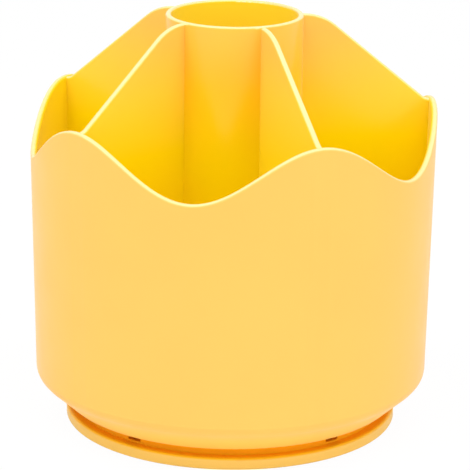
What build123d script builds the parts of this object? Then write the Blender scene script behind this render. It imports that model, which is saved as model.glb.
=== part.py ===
from build123d import *
import os
from math import acos, atan2, cos, degrees, hypot, radians, sin, tan

os.makedirs("parts", exist_ok=True)

# A rotating pen holder: one moulded cup with a centre tube and five dividers, which
# turns on a thin foot plate by a ball bearing and a shoulder screw.
# Millimetres, +Z up. The origin is on the desk, on the axis that the cup turns about,
# and the front of the holder faces -Y.

# Cup
rim_radius = 60.0
rim_height = 82.8
wave_height = 7.7
draft_angle = 0.94
wall_thickness = 1.8
rim_round = 0.75
bevel_width = 8.88
bevel_height = 8.0
bevel_upper_round = 3.5
bevel_lower_round = 0.9
turning_gap = 2.88

# Centre tube
tube_radius = 20.15
tube_wall = 1.6
tube_height = 116.5
tube_rim_round = 0.65
tube_floor_thickness = 2.0

# Dividers
divider_count = 5
first_divider_angle = 24.5
divider_thickness = 1.7
divider_round = 0.7
divider_tube_drop = 0.35
divider_tube_run = 0.25
divider_shoulder_radius = 14.5
divider_rim_drop = 0.4
divider_rim_run = 1.0
divider_rim_round = 4.0

# Foot plate
foot_inset = 0.1
foot_thickness = 3.5
foot_skin = 2.0
foot_rim_width = 2.5
foot_edge_round = 0.8
foot_lower_round = 0.4
foot_rib_count = 8
foot_rib_width = 1.4
dust_wall_inset = 3.15
dust_wall_width = 1.6
window_angle = 38.0
window_turn = 1.6
window_width = 4.5
window_sill = 0.5

# Rubber pads under the foot plate
pad_count = 4
pad_radius = 6.0
pad_thickness = 1.6
pad_stand = 0.6
pad_inset = 9.3
pad_seat_wall = 1.2
pad_edge_round = 0.3

# Clearances
fit_play = 0.05
running_play = 0.06
washer_play = 0.1
face_play = 0.3

# Ball bearing
ball_count = 16
ball_radius = 1.5
ball_play = 0.05
pocket_play = 0.1
race_tube_gap = 6.3
race_width = 7.0
race_seat_depth = 0.7
cage_width = 5.6
cage_thickness = 1.3

# Pivot in the hub of the foot plate and in the boss of the cup
shoulder_radius = 3.0
bush_wall = 1.45
bush_flange_width = 2.3
bush_flange_thickness = 0.8
washer_thickness = 0.8
head_lip = 1.0
head_height = 2.2
head_round = 0.6
drive_width = 1.1
drive_length = 4.4
drive_depth = 1.4
cap_step_width = 0.7
cap_thickness = 1.1
cap_inset = 0.2
cap_edge_round = 0.2
hub_web = 5.5
hub_wall = 3.3
hub_skirt_width = 3.0
thread_radius = 2.0
insert_wall = 1.0
insert_length = 6.0
insert_groove_width = 1.0
insert_groove_depth = 0.3
insert_hole_spare = 0.5
boss_wall = 2.5
boss_roof = 0.6
boss_rib_width = 1.4
boss_rib_depth = 5.0

# Heights of the foot plate and of the cup above the desk
foot_bottom = pad_stand
foot_top = foot_bottom + foot_thickness
cup_bottom = foot_top + turning_gap
bevel_top = cup_bottom + bevel_height
rim_middle = cup_bottom + rim_height
rim_peak = rim_middle + wave_height
tube_top = cup_bottom + tube_height

# Heights of the bearing, from the middle of the gap
ball_level = foot_top + turning_gap / 2
lower_race_bottom = foot_top - race_seat_depth
lower_race_top = ball_level - cage_thickness / 2 - face_play
race_thickness = lower_race_top - lower_race_bottom
upper_race_bottom = ball_level + cage_thickness / 2 + face_play

# Heights of the pivot, stacked from the cap up
cap_bottom = foot_bottom + cap_inset
cap_top = cap_bottom + cap_thickness
head_bottom = cap_top + face_play
head_top = head_bottom + head_height
washer_top = head_top + washer_thickness
hub_web_bottom = washer_top + washer_play + bush_flange_thickness
hub_top = hub_web_bottom + hub_web
boss_bottom = hub_top + face_play
tube_floor_bottom = boss_bottom + insert_length + insert_hole_spare + boss_roof
tube_floor_top = tube_floor_bottom + tube_floor_thickness

# Radii that follow from the sizes above
tube_inner_radius = tube_radius - tube_wall
race_inner_radius = tube_radius + race_tube_gap
race_outer_radius = race_inner_radius + race_width
ball_circle_radius = race_inner_radius + race_width / 2
groove_radius = ball_radius + ball_play
head_radius = shoulder_radius + head_lip
bush_bore_radius = shoulder_radius + running_play
bush_radius = bush_bore_radius + bush_wall
flange_radius = bush_bore_radius + bush_flange_width
recess_radius = flange_radius + face_play
cap_radius = recess_radius + cap_step_width
hub_radius = recess_radius + hub_wall
hub_skirt_radius = hub_radius + hub_skirt_width
insert_radius = thread_radius + insert_wall
boss_radius = insert_radius + boss_wall

# Angles in the XY plane are counted from +X, so the front is at -90 degrees.
front_angle = -90.0
divider_start = front_angle + first_divider_angle


def wall_radius(height):
    """Outer radius of the drafted wall at a height above the desk."""
    return rim_radius - (rim_peak - height) * tan(radians(draft_angle))


underside_radius = wall_radius(bevel_top) - bevel_width
foot_radius = underside_radius - foot_inset
pad_circle_radius = foot_radius - pad_inset
dust_wall_radius = underside_radius - dust_wall_inset
dust_wall_middle = dust_wall_radius - dust_wall_width / 2


def wave_ring(radius):
    """Closed curve of the wavy rim at one radius, with its peaks over the dividers."""
    points_per_wave = 12
    point_count = divider_count * points_per_wave
    points = []
    for index in range(point_count):
        angle = 360 * index / point_count
        level = rim_middle + wave_height * cos(radians(divider_count * angle))
        direction = radians(divider_start + angle)
        points.append((radius * cos(direction), radius * sin(direction), level))
    return Edge.make_spline(points, periodic=True)


# One divider: an upright plate from the tube to the wall. Its top runs level at the
# tube, rounds over, falls straight and runs out level into a peak of the rim. Its ends
# lie inside the tube's wall, the cup's wall and the floor, so that all become one moulding.
divider_top = tube_top - divider_tube_drop
divider_inner = tube_radius - tube_wall / 2
divider_low = cup_bottom + wall_thickness / 2
divider_outer_low = underside_radius - wall_thickness / 4
divider_outer_bevel = wall_radius(bevel_top) - wall_thickness / 2
wall_inner_at_peak = rim_radius - wall_thickness
divider_end = rim_radius - wall_thickness / 2
divider_rim_level = rim_peak - divider_rim_drop
rim_corner = wall_inner_at_peak - divider_rim_run
shoulder_start = tube_radius + divider_tube_run
rim_reach = rim_corner - shoulder_start
rim_rise = divider_rim_level - (divider_top - divider_shoulder_radius)
rim_bearing = degrees(atan2(rim_rise, rim_reach))
tangent_bearing = degrees(acos(divider_shoulder_radius / hypot(rim_reach, rim_rise)))
divider_fall = 90 - rim_bearing - tangent_bearing

with BuildPart() as divider:
    with BuildSketch(Plane.XZ):
        with BuildLine():
            level_edge = Line((divider_inner, divider_top), (shoulder_start, divider_top))
            turn_edge = JernArc(
                level_edge @ 1, level_edge % 1, divider_shoulder_radius, -divider_fall
            )
            Polyline(
                turn_edge @ 1,
                (rim_corner, divider_rim_level),
                (divider_end, divider_rim_level),
                (divider_outer_bevel, bevel_top),
                (divider_outer_low, divider_low),
                (divider_inner, divider_low),
                (divider_inner, divider_top),
            )
        make_face()
        run_out = vertices().sort_by_distance((rim_corner, divider_rim_level))[0]
        fillet(run_out, divider_rim_round)
    extrude(amount=divider_thickness / 2, both=True)
    top_faces = divider.faces().filter_by(lambda face: face.normal_at().Z > 0.5)
    fillet(top_faces.edges().filter_by(Axis.Y, reverse=True), divider_round)

# The cup: a drafted round wall with a bevelled foot and a wavy rim.
blank_top = rim_peak + 2 * wall_thickness
with BuildPart() as cup_body:
    with BuildSketch(Plane.XZ):
        with BuildLine():
            Polyline(
                (0, cup_bottom),
                (underside_radius, cup_bottom),
                (wall_radius(bevel_top), bevel_top),
                (wall_radius(blank_top), blank_top),
                (0, blank_top),
                close=True,
            )
        make_face()
        lower_corner = (underside_radius, cup_bottom)
        upper_corner = (wall_radius(bevel_top), bevel_top)
        fillet(vertices().sort_by_distance(lower_corner)[0], bevel_lower_round)
        fillet(vertices().sort_by_distance(upper_corner)[0], bevel_upper_round)
    revolve(axis=Axis.Z)
    offset(amount=-wall_thickness, openings=faces().sort_by(Axis.Z)[-1])

    # The rim's wave cuts the blank wall, and both of its edges are rounded.
    wave_surface = Face.make_surface_from_curves(
        wave_ring(rim_radius - 4 * wall_thickness),
        wave_ring(rim_radius + 4 * wall_thickness),
    )
    wave_cut = 2 * wave_height + 4 * wall_thickness
    extrude(wave_surface, amount=wave_cut, dir=(0, 0, 1), mode=Mode.SUBTRACT)
    rim_edges = edges().filter_by(GeomType.BSPLINE)
    fillet(rim_edges.filter_by(lambda edge: edge.length > wall_thickness * 2), rim_round)

    # The tube stands through the floor. Its own floor lies higher, over the socket.
    with BuildSketch(Plane.XY.offset(cup_bottom)):
        Circle(tube_radius)
    extrude(amount=tube_height)
    with BuildSketch(Plane.XY.offset(tube_floor_top)):
        Circle(tube_inner_radius)
    extrude(amount=tube_top - tube_floor_top, mode=Mode.SUBTRACT)
    with BuildSketch(Plane.XY.offset(cup_bottom)):
        Circle(tube_inner_radius)
    extrude(amount=tube_floor_bottom - cup_bottom, mode=Mode.SUBTRACT)
    fillet(faces().sort_by(Axis.Z)[-1].edges(), tube_rim_round)

    with PolarLocations(0, divider_count, start_angle=divider_start):
        add(divider.part)

    # The boss for the threaded insert hangs from the tube's floor, held by ribs.
    with BuildSketch(Plane.XY.offset(boss_bottom)):
        Circle(boss_radius)
    extrude(amount=tube_floor_bottom - boss_bottom)
    boss_rib_inner = boss_radius - boss_wall / 2
    boss_rib_outer = tube_radius - tube_wall / 2
    boss_rib_middle = (boss_rib_inner + boss_rib_outer) / 2
    with BuildSketch(Plane.XY.offset(tube_floor_bottom)):
        with PolarLocations(boss_rib_middle, divider_count, start_angle=divider_start):
            Rectangle(boss_rib_outer - boss_rib_inner, boss_rib_width)
    extrude(amount=-boss_rib_depth)
    with BuildSketch(Plane.XY.offset(boss_bottom)):
        Circle(insert_radius + fit_play)
    extrude(amount=insert_length + insert_hole_spare, mode=Mode.SUBTRACT)

    # Seat of the upper race in the underside.
    with BuildSketch(Plane.XY.offset(cup_bottom)):
        Circle(race_outer_radius + fit_play)
        Circle(race_inner_radius - fit_play, mode=Mode.SUBTRACT)
    extrude(amount=race_seat_depth, mode=Mode.SUBTRACT)

cup_body.part.label = "cup_body"
export_step(cup_body.part, "parts/cup_body.step")

# The foot plate: a thin disc with a rounded edge, hollow below, with radial ribs.
with BuildPart() as base_disc:
    with BuildSketch(Plane.XY.offset(foot_bottom)):
        Circle(foot_radius)
    extrude(amount=foot_thickness)
    fillet(faces().sort_by(Axis.Z)[-1].edges(), foot_edge_round)
    fillet(faces().sort_by(Axis.Z)[0].edges(), foot_lower_round)
    with BuildSketch(Plane.XY.offset(foot_bottom)):
        Circle(foot_radius - foot_rim_width)
        Circle(hub_skirt_radius, mode=Mode.SUBTRACT)
    extrude(amount=foot_thickness - foot_skin, mode=Mode.SUBTRACT)
    rib_length = foot_radius - foot_rim_width - hub_skirt_radius
    rib_middle = hub_skirt_radius + rib_length / 2
    rib_start = front_angle + 180 / foot_rib_count
    with BuildSketch(Plane.XY.offset(foot_bottom)):
        with PolarLocations(rib_middle, foot_rib_count, start_angle=rib_start):
            Rectangle(rib_length + foot_rib_width, foot_rib_width)
    extrude(amount=foot_thickness - foot_skin / 2)

    # Seats of the rubber pads.
    with BuildSketch(Plane.XY.offset(foot_bottom)):
        with PolarLocations(pad_circle_radius, pad_count, start_angle=front_angle):
            Circle(pad_radius + fit_play + pad_seat_wall)
    extrude(amount=foot_thickness - foot_skin / 2)
    with BuildSketch(Plane.XY.offset(foot_bottom)):
        with PolarLocations(pad_circle_radius, pad_count, start_angle=front_angle):
            Circle(pad_radius + fit_play)
    extrude(amount=pad_thickness - pad_stand, mode=Mode.SUBTRACT)

    # A low wall closes the gap round the bearing. Two windows in its front and two in
    # its back let air and grit out.
    with BuildSketch(Plane.XY.offset(foot_top)):
        Circle(dust_wall_radius)
        Circle(dust_wall_radius - dust_wall_width, mode=Mode.SUBTRACT)
    extrude(amount=turning_gap - face_play)
    window_middle = front_angle + window_turn
    with BuildSketch(Plane.XY.offset(foot_top + window_sill)):
        for turn in (window_angle, 180 - window_angle, 180 + window_angle, -window_angle):
            with PolarLocations(dust_wall_middle, 1, start_angle=window_middle + turn):
                Rectangle(2 * dust_wall_width, window_width)
    extrude(amount=turning_gap, mode=Mode.SUBTRACT)

    # The hub holds the bush and, from below, the screw's head and its cap.
    with BuildSketch(Plane.XY.offset(foot_top)):
        Circle(hub_radius)
    extrude(amount=hub_top - foot_top)
    with BuildSketch(Plane.XY.offset(foot_bottom)):
        Circle(cap_radius + fit_play)
    extrude(amount=cap_top - foot_bottom, mode=Mode.SUBTRACT)
    with BuildSketch(Plane.XY.offset(foot_bottom)):
        Circle(recess_radius)
    extrude(amount=hub_web_bottom - foot_bottom, mode=Mode.SUBTRACT)
    with BuildSketch(Plane.XY.offset(hub_web_bottom)):
        Circle(bush_radius + fit_play)
    extrude(amount=hub_web, mode=Mode.SUBTRACT)

    # Seat of the lower race.
    with BuildSketch(Plane.XY.offset(foot_top)):
        Circle(race_outer_radius + fit_play)
        Circle(race_inner_radius - fit_play, mode=Mode.SUBTRACT)
    extrude(amount=-race_seat_depth, mode=Mode.SUBTRACT)

base_disc.part.label = "base_disc"
export_step(base_disc.part, "parts/base_disc.step")

# Two like steel rings with a round groove: one in the foot plate, one in the cup.
race_places = {"lower_race": lower_race_bottom, "upper_race": upper_race_bottom}
for race_name, race_bottom in race_places.items():
    with BuildPart() as race:
        with BuildSketch(Plane.XZ):
            with Locations((ball_circle_radius, race_bottom + race_thickness / 2)):
                Rectangle(race_width, race_thickness)
            with Locations((ball_circle_radius, ball_level)):
                Circle(groove_radius, mode=Mode.SUBTRACT)
        revolve(axis=Axis.Z)
    race.part.label = race_name
    export_step(race.part, f"parts/{race_name}.step")

# The cage: a flat ring with one round pocket for each ball.
with BuildPart() as ball_cage:
    with BuildSketch(Plane.XY.offset(ball_level)):
        Circle(ball_circle_radius + cage_width / 2)
        Circle(ball_circle_radius - cage_width / 2, mode=Mode.SUBTRACT)
        with PolarLocations(ball_circle_radius, ball_count):
            Circle(ball_radius + pocket_play, mode=Mode.SUBTRACT)
    extrude(amount=cage_thickness / 2, both=True)

ball_cage.part.label = "ball_cage"
export_step(ball_cage.part, "parts/ball_cage.step")

for number in range(ball_count):
    direction = radians(360 * number / ball_count)
    ball_x = ball_circle_radius * cos(direction)
    ball_y = ball_circle_radius * sin(direction)
    with BuildPart() as bearing_ball:
        with Locations((ball_x, ball_y, ball_level)):
            Sphere(ball_radius)
    ball_name = f"bearing_ball_{number + 1:02d}"
    bearing_ball.part.label = ball_name
    export_step(bearing_ball.part, f"parts/{ball_name}.step")

# The bush: a plastic sleeve pressed into the hub from below, with a flange.
with BuildPart() as pivot_bush:
    with BuildSketch(Plane.XY.offset(hub_web_bottom)):
        Circle(bush_radius)
    extrude(amount=hub_web)
    with BuildSketch(Plane.XY.offset(hub_web_bottom)):
        Circle(flange_radius)
    extrude(amount=-bush_flange_thickness)
    with BuildSketch(Plane.XY.offset(hub_top)):
        Circle(bush_bore_radius)
    extrude(amount=-hub_web - bush_flange_thickness, mode=Mode.SUBTRACT)

pivot_bush.part.label = "pivot_bush"
export_step(pivot_bush.part, "parts/pivot_bush.step")

# The washer turns with the screw and keeps the cup from lifting off.
with BuildPart() as pivot_washer:
    with BuildSketch(Plane.XY.offset(washer_top)):
        Circle(flange_radius)
        Circle(shoulder_radius + washer_play, mode=Mode.SUBTRACT)
    extrude(amount=-washer_thickness)

pivot_washer.part.label = "pivot_washer"
export_step(pivot_washer.part, "parts/pivot_washer.step")

# The shoulder screw: head below, a plain shoulder as the axle, and the threaded end.
with BuildPart() as pivot_screw:
    with BuildSketch(Plane.XY.offset(head_bottom)):
        Circle(head_radius)
    extrude(amount=head_height)
    fillet(faces().sort_by(Axis.Z)[0].edges(), head_round)
    with BuildSketch(Plane.XY.offset(head_top)):
        Circle(shoulder_radius)
    extrude(amount=boss_bottom - head_top)
    with BuildSketch(Plane.XY.offset(boss_bottom)):
        Circle(thread_radius - fit_play)
    extrude(amount=insert_length)
    with BuildSketch(Plane.XY.offset(head_bottom)):
        Rectangle(drive_length, drive_width)
        Rectangle(drive_width, drive_length)
    extrude(amount=drive_depth, mode=Mode.SUBTRACT)

pivot_screw.part.label = "pivot_screw"
export_step(pivot_screw.part, "parts/pivot_screw.step")

# The brass insert in the cup's boss, with a groove round its middle.
with BuildPart() as threaded_insert:
    with BuildSketch(Plane.XY.offset(boss_bottom)):
        Circle(insert_radius)
        Circle(thread_radius, mode=Mode.SUBTRACT)
    extrude(amount=insert_length)
    groove_bottom = boss_bottom + (insert_length - insert_groove_width) / 2
    with BuildSketch(Plane.XY.offset(groove_bottom)):
        Circle(insert_radius)
        Circle(insert_radius - insert_groove_depth, mode=Mode.SUBTRACT)
    extrude(amount=insert_groove_width, mode=Mode.SUBTRACT)

threaded_insert.part.label = "threaded_insert"
export_step(threaded_insert.part, "parts/threaded_insert.step")

# The cap closes the screw's recess, a little inside the foot plate's underside.
with BuildPart() as screw_cap:
    with BuildSketch(Plane.XY.offset(cap_bottom)):
        Circle(cap_radius)
    extrude(amount=cap_thickness)
    fillet(faces().sort_by(Axis.Z)[0].edges(), cap_edge_round)

screw_cap.part.label = "screw_cap"
export_step(screw_cap.part, "parts/screw_cap.step")

# Rubber pads, which stand a little below the foot plate's rim.
for number in range(pad_count):
    direction = radians(front_angle + 360 * number / pad_count)
    pad_x = pad_circle_radius * cos(direction)
    pad_y = pad_circle_radius * sin(direction)
    with BuildPart() as foot_pad:
        with Locations((pad_x, pad_y, 0)):
            Cylinder(pad_radius, pad_thickness, align=(Align.CENTER, Align.CENTER, Align.MIN))
        fillet(faces().sort_by(Axis.Z)[0].edges(), pad_edge_round)
    pad_name = f"foot_pad_{number + 1}"
    foot_pad.part.label = pad_name
    export_step(foot_pad.part, f"parts/{pad_name}.step")
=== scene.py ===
from math import radians

import bpy
from mathutils import Matrix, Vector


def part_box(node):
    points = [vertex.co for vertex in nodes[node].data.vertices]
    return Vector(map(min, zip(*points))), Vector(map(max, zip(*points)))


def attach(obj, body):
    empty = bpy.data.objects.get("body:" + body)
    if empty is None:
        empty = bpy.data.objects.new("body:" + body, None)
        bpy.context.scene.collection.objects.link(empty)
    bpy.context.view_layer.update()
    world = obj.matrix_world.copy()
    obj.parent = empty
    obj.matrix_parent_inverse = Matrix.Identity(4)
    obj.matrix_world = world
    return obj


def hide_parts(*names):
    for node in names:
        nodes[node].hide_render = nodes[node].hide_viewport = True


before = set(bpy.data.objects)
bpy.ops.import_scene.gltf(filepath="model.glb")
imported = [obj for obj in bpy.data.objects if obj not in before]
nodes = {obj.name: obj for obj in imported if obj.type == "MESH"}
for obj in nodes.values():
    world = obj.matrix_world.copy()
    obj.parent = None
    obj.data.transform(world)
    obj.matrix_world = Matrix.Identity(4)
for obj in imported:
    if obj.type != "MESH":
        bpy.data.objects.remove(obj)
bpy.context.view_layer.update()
bpy.ops.object.select_all(action="DESELECT")

# The camera stands three quarters of a metre in front and looks slightly down into the
# compartments. It is tilted a touch to the left, as a hand-held camera is.
camera_lens = 194.68
camera_sensor = 36
camera_nearest = 0.01
camera_place = (0.0, -0.7266, 0.2768)
camera_down = 16.908
camera_right = 0.0698
camera_roll = 0.712
camera_turn = (radians(90 - camera_down), 0, -radians(camera_right))
bpy.ops.object.camera_add(location=camera_place, rotation=camera_turn)
camera = bpy.context.object
camera.name = "camera"
camera.rotation_euler.rotate_axis("Z", radians(camera_roll))
camera.data.lens = camera_lens
camera.data.sensor_width = camera_sensor
camera.data.clip_start = camera_nearest
camera.data.dof.use_dof = False
bpy.context.scene.camera = camera
bpy.context.scene.view_settings.view_transform = "Standard"


# The table top: one large sheet of matt white paper. It shows white to the camera and
# in reflections, and keeps the soft shadow under the foot plate.
def add_step(tree, kind, inputs=None, **settings):
    """Add one shader node, set it, and give each of its inputs a value or a link."""
    step = tree.nodes.new("ShaderNode" + kind)
    for name, value in settings.items():
        setattr(step, name, value)
    for name, value in (inputs or {}).items():
        if isinstance(value, bpy.types.NodeSocket):
            tree.links.new(value, step.inputs[name])
        else:
            step.inputs[name].default_value = value
    return step


def both(tree, first, second):
    """The product of two masks."""
    return add_step(tree, "Math", {0: first, 1: second}, operation="MULTIPLY").outputs[0]


def seen_or_mirrored(tree):
    """One for rays of the camera and of reflections, nought for rays that light."""
    path = add_step(tree, "LightPath").outputs
    sight = {0: path["Is Camera Ray"], 1: path["Is Glossy Ray"]}
    return add_step(tree, "Math", sight, operation="MAXIMUM").outputs[0]


full_white = (1, 1, 1, 1)
paper_colour = (0.90, 0.90, 0.90, 1)
paper_glow_share = 0.97
table_size = 6.0
white_paper = bpy.data.materials.new("white_paper")
white_paper.use_nodes = True
paper_tree = white_paper.node_tree
paper_tree.nodes.clear()
glow_share = both(paper_tree, seen_or_mirrored(paper_tree), paper_glow_share)
matt = add_step(paper_tree, "BsdfDiffuse", {"Color": paper_colour}).outputs[0]
glow = add_step(paper_tree, "Emission", {"Color": full_white, "Strength": 1.0}).outputs[0]
paper_mix = add_step(paper_tree, "MixShader", {0: glow_share, 1: matt, 2: glow}).outputs[0]
add_step(paper_tree, "OutputMaterial", {"Surface": paper_mix})
bpy.ops.mesh.primitive_plane_add(size=table_size, location=(0, 0, 0))
table_top = bpy.context.object
table_top.name = "table_top"
table_top.data.materials.append(white_paper)

# The light tent: an even white surround, with one soft lamp high in front, two stronger
# ones high at the sides, and two faint ones low at the sides that reach into the gap
# under the cup.
tent_strength = 0.56
lamp_size = 0.7
light_tent = bpy.data.worlds.new("light_tent")
bpy.context.scene.world = light_tent
light_tent.use_nodes = True
tent_tree = light_tent.node_tree
tent_tree.nodes.clear()
lit_side, seen_side = (
    add_step(tent_tree, "Background", {"Color": full_white, "Strength": strength}).outputs[0]
    for strength in (tent_strength, 1.0)
)
tent_sides = {0: seen_or_mirrored(tent_tree), 1: lit_side, 2: seen_side}
tent_mix = add_step(tent_tree, "MixShader", tent_sides).outputs[0]
add_step(tent_tree, "OutputWorld", {"Surface": tent_mix})

for lamp_name, lamp_place, power in (
    ("lamp_front", (0.0, -0.5, 0.9), 3.0),
    ("lamp_left", (-0.55, -0.25, 1.25), 8.5),
    ("lamp_right", (0.55, -0.25, 1.25), 6.5),
    ("fill_left", (-0.7, -0.45, 0.15), 1.0),
    ("fill_right", (0.7, -0.45, 0.15), 1.6),
):
    bpy.ops.object.light_add(type="AREA", location=lamp_place)
    lamp = bpy.context.object
    lamp.name = lamp_name
    lamp.data.size = lamp_size
    lamp.data.energy = power
    lamp.rotation_euler = (-lamp.location).to_track_quat("-Z", "Y").to_euler()


# The cup: one injection moulding in yellow plastic, with its wall, wavy rim, centre tube
# and five dividers. Its outside has the fine matt grain of an etched mould, its inside is
# smooth. The outside's colour has a painted pale tint, a painted reflection of the white
# surround, and the inside's is more saturated, painted shade of light bounced between
# yellow faces. A faint sink mark runs down the wall at each divider.
def new_material(name):
    """A new material, its tree, its principled shader and the places on the piece."""
    material = bpy.data.materials.new(name)
    material.use_nodes = True
    tree = material.node_tree
    place = add_step(tree, "TexCoord").outputs["Object"]
    return material, tree, tree.nodes["Principled BSDF"], place


def ramp(tree, value, low, high, to_low=0.0, to_high=1.0, soft=True):
    """A value that goes from to_low at low to to_high at high, and stays there."""
    ends = {"Value": value, "From Min": low, "From Max": high}
    ends.update({"To Min": to_low, "To Max": to_high})
    kind = "SMOOTHSTEP" if soft else "LINEAR"
    return add_step(tree, "MapRange", ends, interpolation_type=kind).outputs[0]


def blend_colours(tree, share, first, second):
    """A colour that goes from the first to the second as the share goes up to one."""
    mix = add_step(tree, "Mix", data_type="RGBA", clamp_factor=True)
    for name, value in (("Factor", share), ("A", first), ("B", second)):
        if isinstance(value, bpy.types.NodeSocket):
            tree.links.new(value, mix.inputs[name])
        else:
            mix.inputs[name].default_value = (*value, 1.0)
    return mix.outputs["Result"]


def noise(tree, place, scale, detail=2.0):
    """Soft cloudy noise, with so many clouds to the metre."""
    settings = {"Vector": place, "Scale": scale, "Detail": detail}
    return add_step(tree, "TexNoise", settings).outputs["Fac"]


def from_axis(tree, place):
    """The way from the turning axis to a point, the distance, and the height."""
    level = {0: place, 1: (1, 1, 0)}
    flat = add_step(tree, "VectorMath", level, operation="MULTIPLY").outputs[0]
    radius = add_step(tree, "VectorMath", {0: flat}, operation="LENGTH").outputs["Value"]
    height = add_step(tree, "SeparateXYZ", {0: place}).outputs["Z"]
    return flat, radius, height


def dress(names, material):
    """Give these CAD nodes one material."""
    for name in names:
        nodes[name].data.materials.clear()
        nodes[name].data.materials.append(material)


def moulded_finish(tree, plastic, place, colour, roughness, mottle, grain, depth, relief=None):
    """Finish a moulded plastic: flow mottling, uneven gloss and the grain of the mould."""
    clouds = noise(tree, place, scale=30.0, detail=3.0)
    tone = ramp(tree, clouds, *cloud_span, 1.0 - mottle, 1.0 + mottle)
    toned = {0: colour, "Scale": tone}
    mottled = add_step(tree, "VectorMath", toned, operation="SCALE").outputs[0]
    tree.links.new(mottled, plastic.inputs["Base Color"])
    patches = noise(tree, place, scale=90.0)
    patches = ramp(tree, patches, *cloud_span, -patch_contrast, patch_contrast)
    uneven = add_step(tree, "Math", {0: roughness, 1: patches}, operation="ADD").outputs[0]
    tree.links.new(uneven, plastic.inputs["Roughness"])
    grains = noise(tree, place, scale=grain, detail=1.0)
    skin = add_step(tree, "Bump", {"Height": grains, "Strength": 1.0, "Distance": depth})
    if relief is not None:
        form = {"Height": relief, "Strength": 1.0, "Distance": relief_unit}
        tree.links.new(add_step(tree, "Bump", form).outputs[0], skin.inputs["Normal"])
    tree.links.new(skin.outputs[0], plastic.inputs["Normal"])


# How far noise goes from thin to thick clouds, how much the gloss varies with it, and
# what a relief of one stands for, in metres.
cloud_span = (0.3, 0.7)
patch_contrast = 0.03
relief_unit = 0.001
# The cup's yellows inside, painted light that changes with height and facing: a brighter
# yellow low down and on inward faces, painted to make up for the light that does not reach
# there, a deeper one up the tube, and painted highlights with a pale tint at the tube's
# lip and on the dividers' upper flanks. Two more are set on the floor and in the bore.
painted_lit_yellow = (1.0, 0.76, 0.0006)
high_yellow = (1.0, 0.53, 0.012)
painted_lip_highlight = (1.0, 0.52, 0.060)
painted_pale_flank = (1.0, 0.53, 0.078)
bore_yellow = (1.0, 0.72, 0.032)
floor_yellow = (1.0, 0.68, 0.035)
# Outside: the wall, with a painted pale tint; its bevel, painted less pale against the
# table's reflection; a painted highlight on the rim's upward faces, a deeper gold on its
# inner side; and the underside in the gap, painted shade of deep orange.
pale_yellow = (0.985, 0.492, 0.099)
bevel_yellow = (0.99, 0.555, 0.084)
rim_highlight_yellow = (0.97, 0.61, 0.265)
rim_gold = (1.0, 0.60, 0.035)
gap_orange = (1.0, 0.42, 0.0005)
# Where each colour starts and is full, by height or by distance from the axis.
cup_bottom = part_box("cup_body")[0][2]
tube_fade = (0.078, 0.115)
lip_fade = (0.103, 0.124)
flank_fade = (0.086, 0.118)
floor_fade = (0.068, 0.035)
bore_edge = (0.0196, 0.0192)
wall_edge = (0.045, 0.046)
rim_edge = (0.040, 0.050)
rim_highlight_height = (0.070, 0.072)
bevel_edge = (cup_bottom + 0.0080, cup_bottom + 0.0030)
underside_edge = (cup_bottom + 0.0004, cup_bottom + 0.0001)
# How far a face has to turn outward, inward, sideways or up to take a colour.
turned_out = (0.0, 0.6)
turned_in = (-0.3, -0.8)
turned_in_at_rim = (-0.1, -0.7)
turned_aside = (0.8, 0.4)
turned_up = (0.15, 0.7)

plastic_specular = 0.25
cup_sheen = 0.12
cup_sheen_roughness = 0.35
wall_roughness = 0.40
bevel_roughness = 0.55
inside_roughness = 0.20
moulded_skin = {"mottle": 0.012, "grain": 2600.0, "depth": 0.000006}
divider_count = 5
first_divider_angle = -65.5
sink_edge = 0.97
sink_depth = 0.07

cup_plastic, tree, plastic, place = new_material("cup_plastic")
plastic.inputs["Specular IOR Level"].default_value = plastic_specular
plastic.inputs["Sheen Weight"].default_value = cup_sheen
plastic.inputs["Sheen Roughness"].default_value = cup_sheen_roughness
normal = place.node.outputs["Normal"]
flat, radius, height = from_axis(tree, place)
away = add_step(tree, "VectorMath", {0: flat}, operation="NORMALIZE").outputs[0]
facing = add_step(tree, "VectorMath", {0: away, 1: normal}, operation="DOT_PRODUCT")
facing = facing.outputs["Value"]
aside = add_step(tree, "Math", {0: facing}, operation="ABSOLUTE").outputs[0]
upward = add_step(tree, "SeparateXYZ", {0: normal}).outputs["Z"]

outer_skin = both(tree, ramp(tree, facing, *turned_out), ramp(tree, radius, *wall_edge))
# Painted highlight: upward faces high on the rim are painted pale, as if lit from above, and a
# deeper gold on the rim's inner side.
painted_rim_highlight = both(tree, ramp(tree, upward, *turned_up), ramp(tree, height, *rim_highlight_height))
rim_inside = both(tree, ramp(tree, facing, *turned_in_at_rim), ramp(tree, radius, *rim_edge))
inward = ramp(tree, facing, *turned_in)
flank = ramp(tree, aside, *turned_aside)
bevel = ramp(tree, height, *bevel_edge)
underside = ramp(tree, height, *underside_edge)

# Painted light inside: brighter low down and on inward faces, deeper up the tube, with painted
# highlights at its lip and on the dividers' upper flanks.
tube_yellow = blend_colours(tree, ramp(tree, height, *tube_fade), painted_lit_yellow, high_yellow)
# Painted highlight: the tube's lip is painted with a pale tint.
tube_yellow = blend_colours(tree, ramp(tree, height, *lip_fade), tube_yellow, painted_lip_highlight)
flank_height = ramp(tree, height, *flank_fade, soft=False)
# Painted highlight: the dividers' flanks are painted paler towards their tops.
flank_yellow = blend_colours(tree, flank_height, painted_lit_yellow, painted_pale_flank)
inner_yellow = blend_colours(tree, flank, tube_yellow, flank_yellow)
inner_yellow = blend_colours(tree, inward, inner_yellow, painted_lit_yellow)
inner_yellow = blend_colours(tree, ramp(tree, radius, *bore_edge), inner_yellow, bore_yellow)
inner_yellow = blend_colours(tree, ramp(tree, height, *floor_fade), inner_yellow, floor_yellow)
# The bevel is painted less pale than the wall, to offset the white table's reflection on it.
outer_yellow = blend_colours(tree, bevel, pale_yellow, bevel_yellow)
rim_yellow = blend_colours(tree, rim_inside, rim_highlight_yellow, rim_gold)
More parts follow.
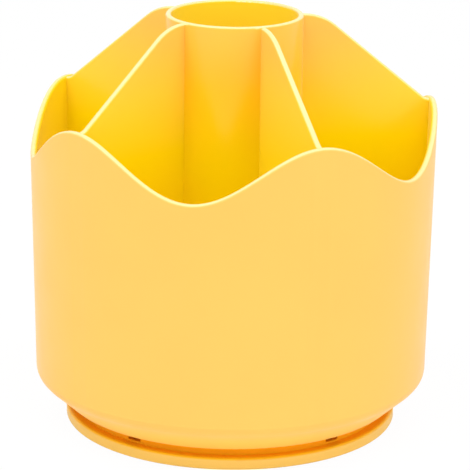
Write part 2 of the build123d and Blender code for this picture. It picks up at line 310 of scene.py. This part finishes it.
# Painted light: the outside takes the pale tint of a painted reflection, the inside the
# saturated yellows of painted shade and light.
colour = blend_colours(tree, outer_skin, inner_yellow, outer_yellow)
colour = blend_colours(tree, painted_rim_highlight, colour, rim_yellow)
# Painted shade: the cup's underside in the turning gap is painted deep orange.
colour = blend_colours(tree, underside, colour, gap_orange)

outside_roughness = ramp(tree, bevel, 0.0, 1.0, wall_roughness, bevel_roughness)
finishes = {"Factor": outer_skin, "A": inside_roughness, "B": outside_roughness}
roughness = add_step(tree, "Mix", finishes).outputs["Result"]

sides = add_step(tree, "SeparateXYZ", {0: place}).outputs
turn = add_step(tree, "Math", {0: sides["Y"], 1: sides["X"]}, operation="ARCTAN2").outputs[0]
phase = {0: turn, 1: divider_count, 2: -divider_count * radians(first_divider_angle)}
fold = add_step(tree, "Math", phase, operation="MULTIPLY_ADD").outputs[0]
crest = add_step(tree, "Math", {0: fold}, operation="COSINE").outputs[0]
sink_line = both(tree, ramp(tree, crest, sink_edge, 1.0, 0.0, -sink_depth), outer_skin)
moulded_finish(tree, plastic, place, colour, roughness, **moulded_skin, relief=sink_line)
dress(["cup_body"], cup_plastic)

# The foot plate: a thin disc moulded in the same plastic, with the dust wall and the hub
# on its top. Deep in the turning gap its colour is painted shade, a deep orange, and its
# rounded upper edge has a painted glow of gold.
lip_yellow = (0.95, 0.61, 0.130)
edge_gold = (1.0, 0.57, 0.010)
plate_orange = (1.0, 0.50, 0.0005)
plate_roughness = 0.42
gap_roughness = 0.85
plate_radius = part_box("base_disc")[1][0]
plate_top = 0.0041
edge_round = 0.0008
flat_radius = plate_radius - edge_round
flat_edge = (flat_radius + 0.0001, flat_radius - 0.0008)
top_face = (plate_top - 0.0005, plate_top - 0.0001)
above_plate = (plate_top + 0.0001, plate_top + 0.0006)
glow_fade = (plate_top - 0.95 * edge_round, plate_top - 0.35 * edge_round)

foot_plastic, tree, plastic, place = new_material("foot_plastic")
plastic.inputs["Specular IOR Level"].default_value = plastic_specular
flat, radius, height = from_axis(tree, place)
# Painted shade of deep orange in the turning gap, and a painted glow of gold on the plate's
# rounded upper edge.
in_gap = both(tree, ramp(tree, radius, *flat_edge), ramp(tree, height, *top_face))
edge_colour = blend_colours(tree, ramp(tree, height, *glow_fade), lip_yellow, edge_gold)
gap_colour = blend_colours(tree, ramp(tree, height, *above_plate), plate_orange, gap_orange)
colour = blend_colours(tree, in_gap, edge_colour, gap_colour)
roughness = ramp(tree, in_gap, 0.0, 1.0, plate_roughness, gap_roughness)
moulded_finish(tree, plastic, place, colour, roughness, **moulded_skin)
dress(["base_disc"], foot_plastic)


# The bearing's races: two rings pressed from steel strip, one seated in the foot plate
# and one in the cup. The balls have polished their grooves, and a film of oil clouds
# the rest.
def turned_marks(tree, place, rings):
    """Fine rings round the turning axis, as a lathe or a press tool leaves them."""
    settings = {"Vector": place, "Scale": rings, "Distortion": 2.0, "Detail": 2.0}
    marks = add_step(tree, "TexWave", settings, wave_type="RINGS", rings_direction="Z")
    return marks.outputs["Fac"]


def metal_finish(tree, metal, place, colour, dull, bright, marks, depth):
    """Finish a bare metal: a gloss that clouds over in places, and the marks of its making."""
    metal.inputs["Metallic"].default_value = 1.0
    tree.links.new(colour, metal.inputs["Base Color"])
    clouds = noise(tree, place, scale=220.0, detail=4.0)
    gloss = ramp(tree, clouds, *cloud_span, dull, bright)
    tree.links.new(gloss, metal.inputs["Roughness"])
    skin = add_step(tree, "Bump", {"Height": marks, "Strength": 1.0, "Distance": depth})
    tree.links.new(skin.outputs[0], metal.inputs["Normal"])


race_grey = (0.62, 0.62, 0.64)
oil_brown = (0.46, 0.41, 0.32)
track_grey = (0.74, 0.74, 0.75)
ball_low, ball_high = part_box("bearing_ball_01")
ball_circle = (ball_low[0] + ball_high[0]) / 2
track_edge = (0.0013, 0.0009)

race_steel, tree, steel, place = new_material("race_steel")
flat, radius, height = from_axis(tree, place)
off_track = add_step(tree, "Math", {0: radius, 1: ball_circle}, operation="SUBTRACT")
off_track = add_step(tree, "Math", {0: off_track.outputs[0]}, operation="ABSOLUTE")
off_track = off_track.outputs[0]
film = noise(tree, place, scale=160.0, detail=3.0)
film = ramp(tree, film, low=0.42, high=0.68, to_high=0.7)
colour = blend_colours(tree, film, race_grey, oil_brown)
colour = blend_colours(tree, ramp(tree, off_track, *track_edge), colour, track_grey)
marks = turned_marks(tree, place, rings=900.0)
metal_finish(tree, steel, place, colour, dull=0.34, bright=0.24, marks=marks, depth=0.000004)
dress(["lower_race", "upper_race"], race_steel)

# The balls: sixteen of chrome steel, ground and polished to one size. They roll between
# the races, each in its hole of the cage, with a wipe of oil on them.
ball_grey = (0.75, 0.75, 0.77)
ball_shade = (0.66, 0.66, 0.69)
ball_chrome, tree, steel, place = new_material("ball_chrome")
colour = blend_colours(tree, noise(tree, place, scale=500.0), ball_grey, ball_shade)
marks = noise(tree, place, scale=6000.0, detail=3.0)
metal_finish(tree, steel, place, colour, dull=0.11, bright=0.05, marks=marks, depth=0.0000004)
dress([name for name in nodes if name.startswith("bearing_ball")], ball_chrome)

# The ball cage and the bush of the pivot: white acetal, moulded, left as it comes and a
# little waxy. Grease has yellowed it in places.
acetal_white = (0.88, 0.88, 0.85)
grease_cream = (0.80, 0.77, 0.66)
acetal_roughness = 0.38
acetal_skin = {"mottle": 0.015, "grain": 1800.0, "depth": 0.000004}
white_acetal, tree, plastic, place = new_material("white_acetal")
grease = noise(tree, place, scale=140.0, detail=3.0)
grease = ramp(tree, grease, low=0.5, high=0.75, to_high=0.6)
colour = blend_colours(tree, grease, acetal_white, grease_cream)
moulded_finish(tree, plastic, place, colour, acetal_roughness, **acetal_skin)
dress(["ball_cage", "pivot_bush"], white_acetal)

# The pivot's washer: stamped from steel strip and plated with bright zinc, which shades
# from bluish to faintly yellow. It lies between the screw's head and the bush.
zinc_blue = (0.68, 0.70, 0.73)
zinc_yellow = (0.73, 0.71, 0.66)
zinc_plate, tree, steel, place = new_material("zinc_plate")
tint = ramp(tree, noise(tree, place, scale=300.0, detail=3.0), low=0.35, high=0.65)
colour = blend_colours(tree, tint, zinc_blue, zinc_yellow)
marks = turned_marks(tree, place, rings=1600.0)
metal_finish(tree, steel, place, colour, dull=0.42, bright=0.28, marks=marks, depth=0.000003)
dress(["pivot_washer"], zinc_plate)


# The shoulder screw: turned from steel and plated as the washer is. Its thread is rolled
# on its end and holds in the cup's insert. Its head has a cross for the driver, and its
# shoulder turns in the bush as the cup's axle.
def pick_faces(piece, wanted):
    """In edit mode, select just the faces of a piece that pass a test."""
    bpy.context.view_layer.objects.active = piece
    bpy.ops.object.mode_set(mode="EDIT")
    bpy.ops.mesh.select_mode(type="FACE")
    bpy.ops.mesh.select_all(action="DESELECT")
    bpy.ops.object.mode_set(mode="OBJECT")
    for face in piece.data.polygons:
        face.select = wanted(face)
    bpy.ops.object.mode_set(mode="EDIT")


def looks_up(face):
    """Whether a face looks straight up."""
    return face.normal.z > 0.9


def looks_down(face):
    """Whether a face looks straight down."""
    return face.normal.z < -0.9


def apply_modifier(piece, kind, **settings):
    """Give a piece one modifier and apply it."""
    bpy.ops.object.mode_set(mode="OBJECT")
    bpy.context.view_layer.objects.active = piece
    modifier = piece.modifiers.new(kind.lower(), kind)
    for name, value in settings.items():
        setattr(modifier, name, value)
    bpy.ops.object.modifier_apply(modifier=modifier.name)


def cut_away(piece, cutter):
    """Cut a shape out of a piece, and remove the shape."""
    bpy.ops.object.select_all(action="DESELECT")
    apply_modifier(piece, "BOOLEAN", object=cutter, operation="DIFFERENCE")
    bpy.data.objects.remove(cutter)


def round_edges(piece, width, segments, sharper_than):
    """Round the edges of a piece that are sharper than an angle."""
    limit = {"limit_method": "ANGLE", "angle_limit": radians(sharper_than)}
    apply_modifier(piece, "BEVEL", width=width, segments=segments, **limit)


def finish_piece(piece, name, material, body, node):
    """Set a piece down at the origin with its place in its mesh, in its node's stead."""
    bpy.ops.object.mode_set(mode="OBJECT")
    bpy.ops.object.select_all(action="DESELECT")
    piece.select_set(True)
    bpy.context.view_layer.objects.active = piece
    bpy.ops.object.transform_apply(location=True, rotation=True, scale=True)
    bpy.ops.object.shade_smooth_by_angle(angle=radians(35))
    piece.name = name
    piece.data.materials.clear()
    piece.data.materials.append(material)
    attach(piece, body)
    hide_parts(node)
    bpy.ops.object.select_all(action="DESELECT")


screw_low, screw_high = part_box("pivot_screw")
head_radius = screw_high[0]
head_height = 0.0022
head_round = 0.0006
edge_break = 0.00008
cross_long = 0.0044
cross_wide = 0.0011
cross_deep = 0.0028
shoulder_radius = 0.0030
thread_radius = 0.00195
thread_length = 0.0060
thread_pitch = 0.0007
thread_depth = 0.000408
thread_steps = 32
ridge_size = 0.00034
core_radius = thread_radius - thread_depth
tip_chamfer = 0.0004
shoulder_length = screw_high[2] - screw_low[2] - head_height - thread_length
straight_length = thread_length - tip_chamfer
head_middle = (0, 0, screw_low[2] + head_height / 2)
bpy.ops.mesh.primitive_cylinder_add(
    vertices=64, radius=head_radius, depth=head_height, location=head_middle
)
screw = bpy.context.object
pick_faces(screw, looks_up)
bpy.ops.mesh.inset(thickness=head_radius - shoulder_radius, depth=0)
bpy.ops.mesh.extrude_region_move(TRANSFORM_OT_translate={"value": (0, 0, shoulder_length)})
bpy.ops.mesh.inset(thickness=shoulder_radius - core_radius, depth=0)
bpy.ops.mesh.extrude_region_move(TRANSFORM_OT_translate={"value": (0, 0, straight_length)})
bpy.ops.mesh.inset(thickness=tip_chamfer, depth=tip_chamfer)
pick_faces(screw, looks_down)
bpy.ops.mesh.bevel(offset=head_round, segments=4, affect="EDGES")
bpy.ops.object.mode_set(mode="OBJECT")
for wing in ((cross_long, cross_wide, cross_deep), (cross_wide, cross_long, cross_deep)):
    bpy.ops.mesh.primitive_cube_add(size=1, location=(0, 0, screw_low[2]), scale=wing)
    cut_away(screw, bpy.context.object)
round_edges(screw, width=edge_break, segments=2, sharper_than=50)

ridge_start = screw_high[2] - thread_length + ridge_size
ridge_turns = int((thread_length - 2 * ridge_size - tip_chamfer) / thread_pitch)
bpy.ops.mesh.primitive_circle_add(
    vertices=3,
    radius=ridge_size,
    location=(thread_radius - ridge_size, 0, ridge_start),
    rotation=(radians(90), radians(90), 0),
)
ridge = bpy.context.object
bpy.ops.object.transform_apply(location=True, rotation=True, scale=True)
ridge_steps = {"steps": thread_steps, "render_steps": thread_steps}
apply_modifier(ridge, "SCREW", screw_offset=thread_pitch, iterations=ridge_turns, **ridge_steps)
pick_faces(ridge, lambda face: True)
bpy.ops.mesh.fill_holes(sides=4)
bpy.ops.mesh.select_all(action="SELECT")
bpy.ops.mesh.normals_make_consistent(inside=False)
bpy.ops.object.mode_set(mode="OBJECT")
screw.select_set(True)
bpy.context.view_layer.objects.active = screw
bpy.ops.object.join()
finish_piece(screw, "cross_head_screw", zinc_plate, "cup", "pivot_screw")

# The threaded insert: turned from brass bar, with a knurl and a groove that hold it in
# the plastic. It is pressed hot into the cup's boss and takes the screw.
brass_bright = (0.80, 0.62, 0.31)
brass_dull = (0.66, 0.47, 0.22)
turned_brass, tree, steel, place = new_material("turned_brass")
tarnish = ramp(tree, noise(tree, place, scale=400.0, detail=3.0), low=0.4, high=0.7)
colour = blend_colours(tree, tarnish, brass_bright, brass_dull)
feed = {"Vector": place, "Scale": 1400.0, "Distortion": 1.0}
marks = add_step(tree, "TexWave", feed, wave_type="BANDS", bands_direction="Z").outputs["Fac"]
metal_finish(tree, steel, place, colour, dull=0.36, bright=0.25, marks=marks, depth=0.000004)

insert_low, insert_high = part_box("threaded_insert")
insert_middle = (insert_low + insert_high) / 2
insert_radius = insert_high[0]
insert_length = insert_high[2] - insert_low[2]
bore_radius = 0.0020
bore_length = 2 * insert_length
knurl_depth = 0.00015
knurl_flat = 0.00004
groove_size = 0.0005
groove_radius = insert_radius + 0.0002
weld_distance = 0.000004
bpy.ops.mesh.primitive_cylinder_add(
    vertices=72, radius=insert_radius, depth=insert_length, location=insert_middle
)
insert = bpy.context.object
pick_faces(insert, lambda face: abs(face.normal.z) < 0.5 and face.index % 2 == 0)
bpy.ops.mesh.inset(thickness=knurl_flat, depth=-knurl_depth)
bpy.ops.object.mode_set(mode="OBJECT")
bpy.ops.mesh.primitive_cylinder_add(
    vertices=48, radius=bore_radius, depth=bore_length, location=insert_middle
)
cut_away(insert, bpy.context.object)
bpy.ops.mesh.primitive_torus_add(
    major_segments=96,
    minor_segments=16,
    major_radius=groove_radius,
    minor_radius=groove_size,
    location=insert_middle,
)
cut_away(insert, bpy.context.object)
pick_faces(insert, lambda face: True)
bpy.ops.mesh.remove_doubles(threshold=weld_distance)
bpy.ops.mesh.dissolve_degenerate(threshold=weld_distance)
finish_piece(insert, "knurled_insert", turned_brass, "cup", "threaded_insert")

# The cap: a plug moulded in grey plastic, with a dished face and a notch to pry it out.
# It closes the screw's recess from below, and its face is scuffed.
cap_grey = (0.45, 0.45, 0.46)
cap_scuffed = (0.55, 0.55, 0.55)
cap_roughness = 0.48
cap_skin = {"mottle": 0.02, "grain": 2200.0, "depth": 0.000008}
cap_plastic, tree, plastic, place = new_material("cap_plastic")
scuffs = noise(tree, place, scale=700.0, detail=5.0)
scuffs = ramp(tree, scuffs, low=0.56, high=0.7, to_high=0.7)
colour = blend_colours(tree, scuffs, cap_grey, cap_scuffed)
moulded_finish(tree, plastic, place, colour, cap_roughness, **cap_skin)

cap_low, cap_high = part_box("screw_cap")
cap_middle = (cap_low + cap_high) / 2
cap_radius = cap_high[0]
cap_height = cap_high[2] - cap_low[2]
cap_land = 0.0010
cap_dish = 0.00025
cap_round = 0.00015
notch_size = (0.0018, 0.0010, 0.0010)
notch_place = (0, -cap_radius, cap_low[2])
bpy.ops.mesh.primitive_cylinder_add(
    vertices=96, radius=cap_radius, depth=cap_height, location=cap_middle
)
cap = bpy.context.object
pick_faces(cap, looks_down)
bpy.ops.mesh.inset(thickness=cap_land, depth=0)
bpy.ops.mesh.inset(thickness=cap_dish, depth=-cap_dish)
bpy.ops.object.mode_set(mode="OBJECT")
bpy.ops.mesh.primitive_cube_add(size=1, location=notch_place, scale=notch_size)
cut_away(cap, bpy.context.object)
round_edges(cap, width=cap_round, segments=3, sharper_than=40)
finish_piece(cap, "pry_cap", cap_plastic, "base", "screw_cap")

# The four pads: discs of black rubber, stuck into their seats under the foot plate. Two
# grooves and a slight hollow help them grip the desk, and dust sits on their undersides.
rubber_black = (0.13, 0.13, 0.135)
desk_dust = (0.26, 0.25, 0.24)
rubber_roughness = 0.85
rubber_skin = {"mottle": 0.03, "grain": 1200.0, "depth": 0.00003}
turned_down = (-0.6, -0.9)
pad_rubber, tree, rubber, place = new_material("pad_rubber")
downward = add_step(tree, "SeparateXYZ", {0: place.node.outputs["Normal"]}).outputs["Z"]
specks = ramp(tree, noise(tree, place, scale=500.0, detail=4.0), low=0.4, high=0.65)
dust = both(tree, ramp(tree, downward, *turned_down), specks)
colour = blend_colours(tree, dust, rubber_black, desk_dust)
moulded_finish(tree, rubber, place, colour, rubber_roughness, **rubber_skin)

pad_low, pad_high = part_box("foot_pad_1")
pad_middle = (pad_low + pad_high) / 2
pad_radius = (pad_high[0] - pad_low[0]) / 2
pad_height = pad_high[2] - pad_low[2]
pad_sides = 72
pad_edge_round = 0.0003
outer_land = 0.0014
inner_land = 0.0013
groove_depth = 0.00030
groove_wall = 0.00012
groove_floor = 0.00045
hollow_land = 0.0006
hollow_slope = 0.0005
hollow_depth = 0.00015
bpy.ops.mesh.primitive_cylinder_add(
    vertices=pad_sides, radius=pad_radius, depth=pad_height, location=pad_middle
)
pad = bpy.context.object
pick_faces(pad, looks_down)
bpy.ops.mesh.bevel(offset=pad_edge_round, segments=3, affect="EDGES")
pick_faces(pad, lambda face: looks_down(face) and len(face.vertices) == pad_sides)
for land in (outer_land, inner_land):
    bpy.ops.mesh.inset(thickness=land, depth=0)
    bpy.ops.mesh.inset(thickness=groove_wall, depth=-groove_depth)
    bpy.ops.mesh.inset(thickness=groove_floor, depth=0)
    bpy.ops.mesh.inset(thickness=groove_wall, depth=groove_depth)
bpy.ops.mesh.inset(thickness=hollow_land, depth=0)
bpy.ops.mesh.inset(thickness=hollow_slope, depth=-hollow_depth)
bpy.ops.mesh.poke()
bpy.ops.object.mode_set(mode="OBJECT")
pad_names = sorted(name for name in nodes if name.startswith("foot_pad"))
pads = [pad]
while len(pads) < len(pad_names):
    another = pad.copy()
    another.data = pad.data.copy()
    bpy.context.collection.objects.link(another)
    pads.append(another)
for count, (piece, node) in enumerate(zip(pads, pad_names)):
    quarter = Matrix.Rotation(radians(count * 360 / len(pad_names)), 4, "Z")
    piece.matrix_world = quarter @ Matrix.Translation(pad_middle)
    finish_piece(piece, f"grooved_pad_{count + 1}", pad_rubber, "base", node)
